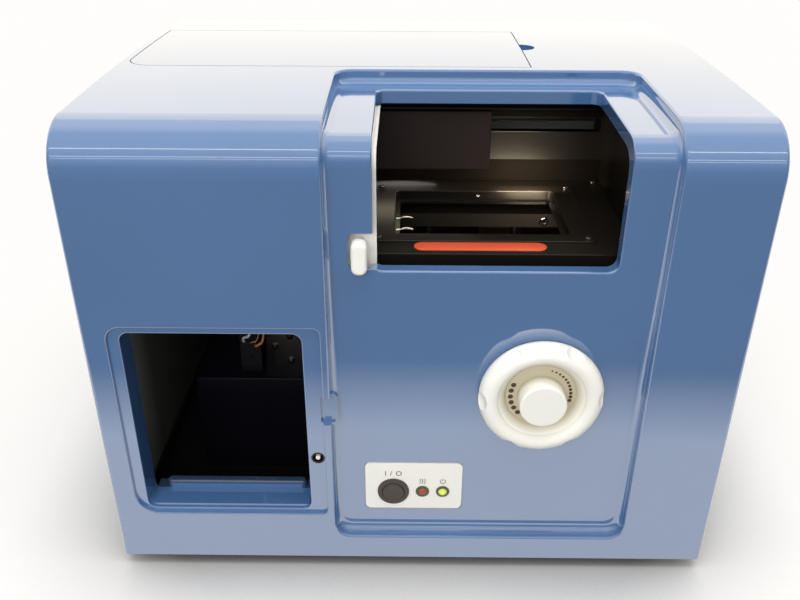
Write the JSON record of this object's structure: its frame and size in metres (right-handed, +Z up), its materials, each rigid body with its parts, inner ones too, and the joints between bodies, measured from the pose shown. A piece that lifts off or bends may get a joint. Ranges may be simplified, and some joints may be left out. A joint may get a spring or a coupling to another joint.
{
  "type": "automated colony counter",
  "caption": "Bench instrument with a moulded blue housing, a recessed front panel, a loading window with a sliding door over a plate stage, a round adjusting knob and an open compartment.",
  "frame": {"origin": "middle of the footprint at the underside of the feet", "axes": "+Z up, -Y towards the operator at the front, +X to the right as seen from the front; the knob's front and the mains inlet's flange set the depth"},
  "size_m": [0.47, 0.414, 0.371],
  "materials": {
    "housing_blue": "gloss",
    "cream_plastic": "satin",
    "black_plastic": "satin",
    "dark_brown_plastic": "gloss",
    "foot_rubber": "matt",
    "black_sheet": "satin",
    "grey_sheet": "satin",
    "steel": "brushed",
    "aluminium": "satin",
    "black_aluminium": "satin",
    "brass": "polished",
    "red_lens": "gloss",
    "green_lens": "gloss",
    "diffuser": "gloss",
    "glass": "gloss",
    "board_green": "satin",
    "heater_orange": "satin"
  },
  "bodies": {
    "case": {"housing_shell": "housing_blue", "base_pan": "black_sheet", "feet": "foot_rubber", "foot_screws": "steel", "rear_panel": "black_sheet", "rear_panel_screws": "steel", "door_rail_lower": "black_plastic", "door_rail_upper": "black_plastic", "panel_bush": "brass", "shaft_bracket": "grey_sheet", "guide_rods": "steel", "rod_base": "aluminium", "rod_bridge": "black_aluminium", "control_plate": "cream_plastic", "switch_ring": "dark_brown_plastic", "lamp_rings": "black_plastic", "heat_lamp_lens": "red_lens", "power_lamp_lens": "green_lens", "chamber_liner": "black_sheet", "stage_plate": "black_sheet", "plate_frame": "black_sheet", "frame_screws": "black_sheet", "stage_screws": "black_sheet", "heater_film": "heater_orange", "head_rail": "steel", "rail_beam": "grey_sheet", "chassis_left": "grey_sheet", "chassis_right": "grey_sheet", "bay_wall": "grey_sheet", "scan_motor": "black_aluminium", "tension_screw": "brass", "compartment_sill": "housing_blue", "catch_cup": "black_plastic", "catch_pin": "cream_plastic", "inner_box": "black_sheet", "terminal_block": "black_plastic", "power_supply": "grey_sheet", "controller_board": "board_green", "fan_housing": "black_plastic", "mains_inlet": "black_plastic", "data_socket": "steel"},
    "door": {"sliding_door": "cream_plastic", "door_handle": "cream_plastic"},
    "knob": {"knob_dish": "cream_plastic", "knob_cap": "cream_plastic", "knob_shaft": "steel", "retaining_collar": "steel", "drive_pinion": "brass"},
    "focus": {"focus_rack": "brass", "focus_carriage": "aluminium", "camera_body": "black_aluminium", "lens_barrel": "black_aluminium", "lens_glass": "glass"},
    "button": {"power_button": "dark_brown_plastic"},
    "cover": {"top_cover": "housing_blue"},
    "head": {"light_head": "black_plastic", "head_diffuser": "diffuser", "head_arm": "black_sheet", "head_runner": "aluminium"},
    "fan": {"fan_impeller": "black_plastic"}
  },
  "joints": [
    {"name": "door_slide", "type": "slide", "parent": "case", "child": "door", "axis": [1, 0, 0], "range_m": [0, 0.1716]},
    {"name": "knob_turn", "type": "hinge", "parent": "case", "child": "knob", "pos_m": [0.0927, -0.195, 0.1685], "axis": [0, 1, 0], "range_deg": [-120, 120]},
    {"name": "focus_lift", "type": "slide", "parent": "case", "child": "focus", "axis": [0, 0, 1], "range_m": [-0.0251, 0.0251]},
    {"name": "power_press", "type": "slide", "parent": "case", "child": "button", "axis": [0, 1, 0], "range_m": [0, 0.002], "stiffness_N_per_m": 900},
    {"name": "cover_tilt", "type": "hinge", "parent": "case", "child": "cover", "pos_m": [-0.2261, 0.032, 0.371], "axis": [0, -1, 0], "range_deg": [0, 60]},
    {"name": "head_scan", "type": "slide", "parent": "case", "child": "head", "axis": [1, 0, 0], "range_m": [0, 0.09]},
    {"name": "fan_spin", "type": "hinge", "parent": "case", "child": "fan", "pos_m": [0.11, 0.19, 0.19], "axis": [0, 1, 0], "continuous": true}
  ],
  "couplings": [
    {"joint": "knob_turn", "follows": "focus_lift", "rad_per_m": 83.333}
  ]
}
